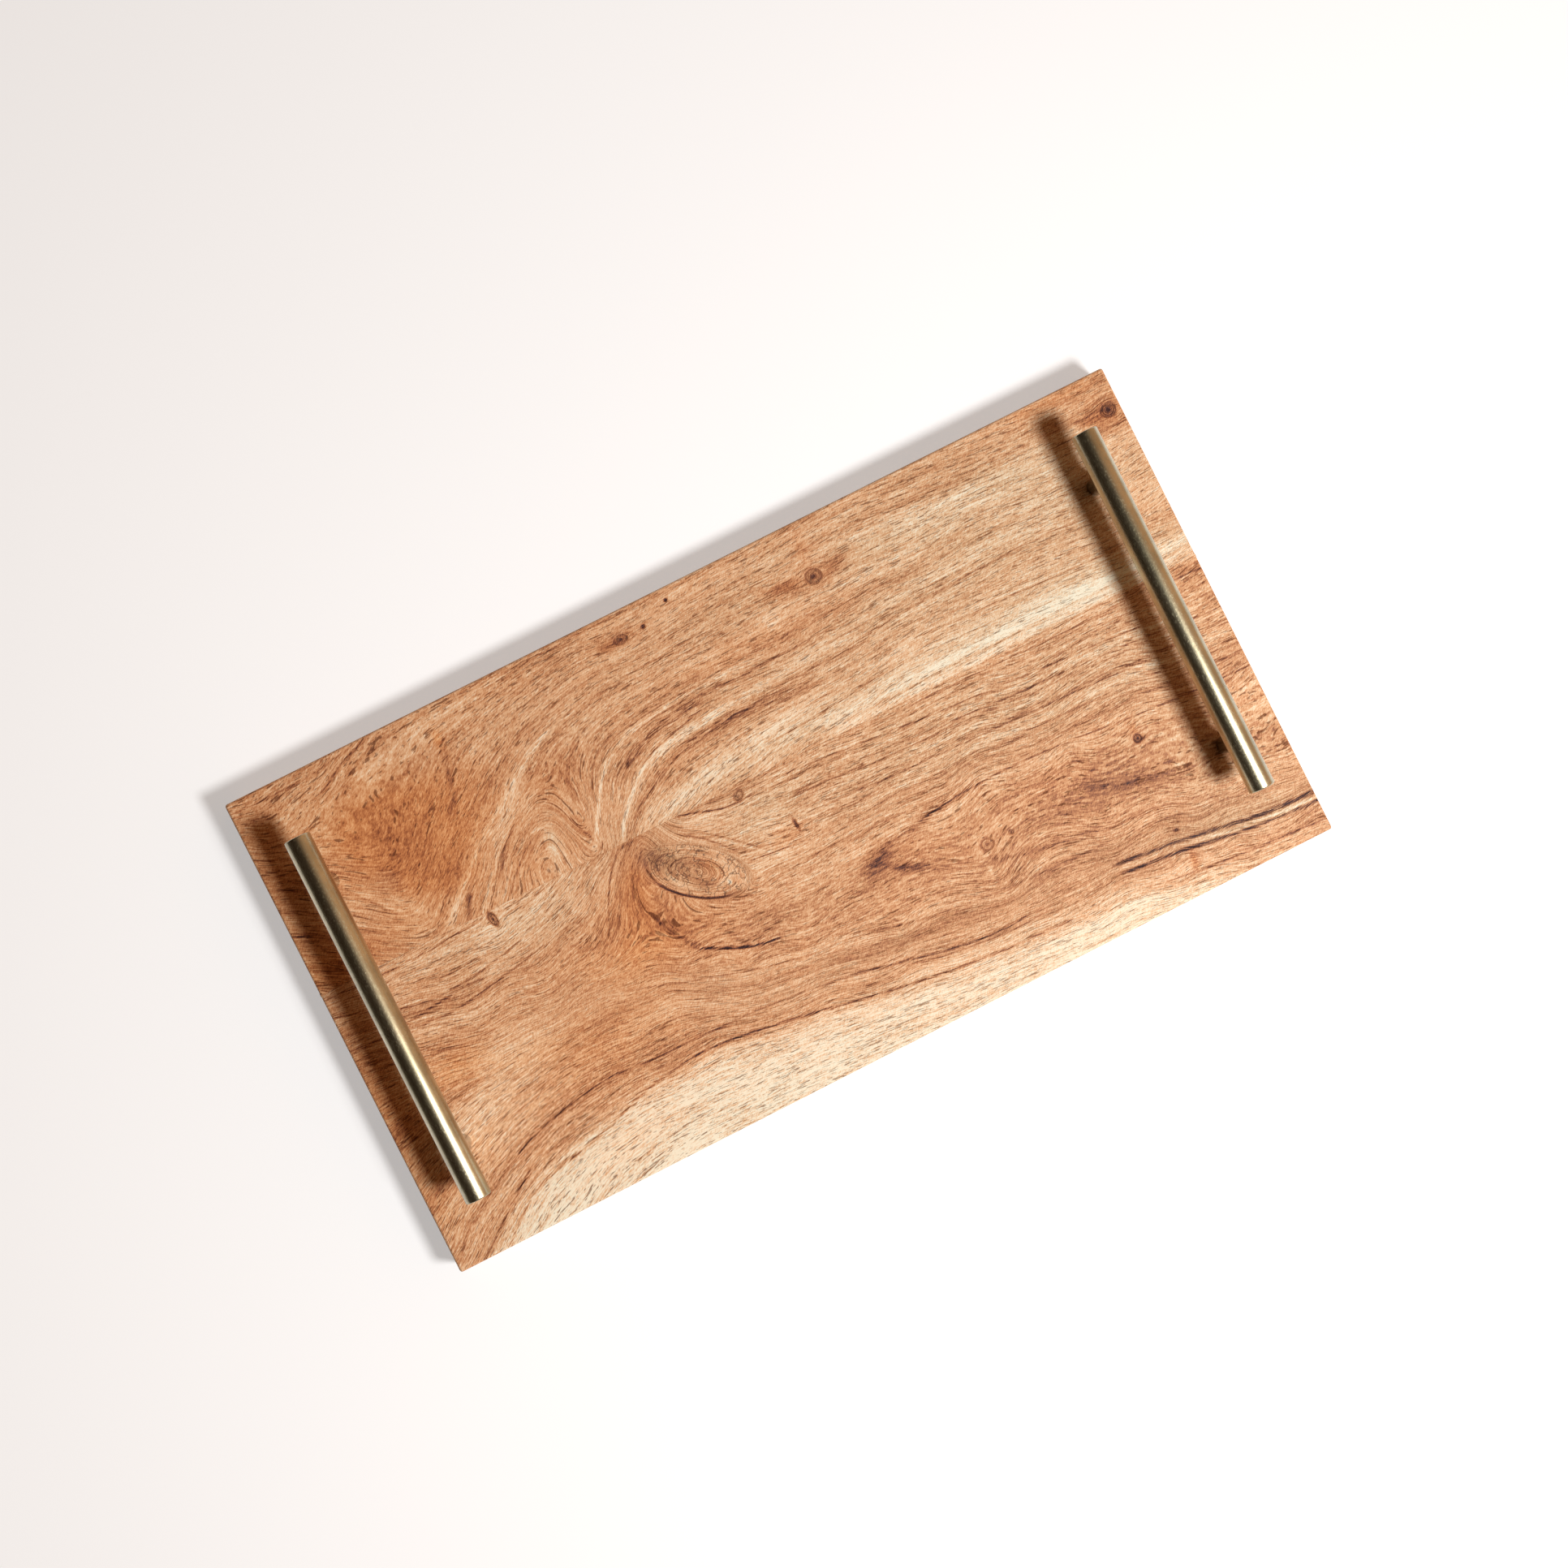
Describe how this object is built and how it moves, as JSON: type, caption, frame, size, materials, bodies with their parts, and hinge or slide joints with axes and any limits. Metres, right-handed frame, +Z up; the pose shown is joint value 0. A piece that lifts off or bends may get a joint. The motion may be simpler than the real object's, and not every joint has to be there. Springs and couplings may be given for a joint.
{
  "type": "serving tray",
  "caption": "Rectangular hardwood serving tray with a raised round-bar brass-finish handle across each short end, standing on low rubber feet.",
  "frame": {"origin": "on the table, under the middle of the board, where the feet stand", "axes": "+X along the board and its grain towards the right handle, +Y across the board towards the rear plank, +Z up"},
  "size_m": [0.432, 0.229, 0.0522],
  "materials": {
    "rear_acacia": "oiled satin",
    "front_acacia": "oiled satin",
    "brass": "polished, finely pitted brass finish",
    "zinc_steel": "zinc plated",
    "rubber": "matte"
  },
  "bodies": {
    "root": {"rear_plank": "rear_acacia", "front_plank": "front_acacia", "left_bar": "brass", "right_bar": "brass", "left_rear_post": "brass", "left_rear_stud": "zinc_steel", "left_rear_screw": "zinc_steel", "left_rear_washer": "zinc_steel", "left_rear_foot": "rubber", "left_front_post": "brass", "left_front_stud": "zinc_steel", "left_front_screw": "zinc_steel", "left_front_washer": "zinc_steel", "left_front_foot": "rubber", "right_rear_post": "brass", "right_rear_stud": "zinc_steel", "right_rear_screw": "zinc_steel", "right_rear_washer": "zinc_steel", "right_rear_foot": "rubber", "right_front_post": "brass", "right_front_stud": "zinc_steel", "right_front_screw": "zinc_steel", "right_front_washer": "zinc_steel", "right_front_foot": "rubber"}
  },
  "joints": []
}
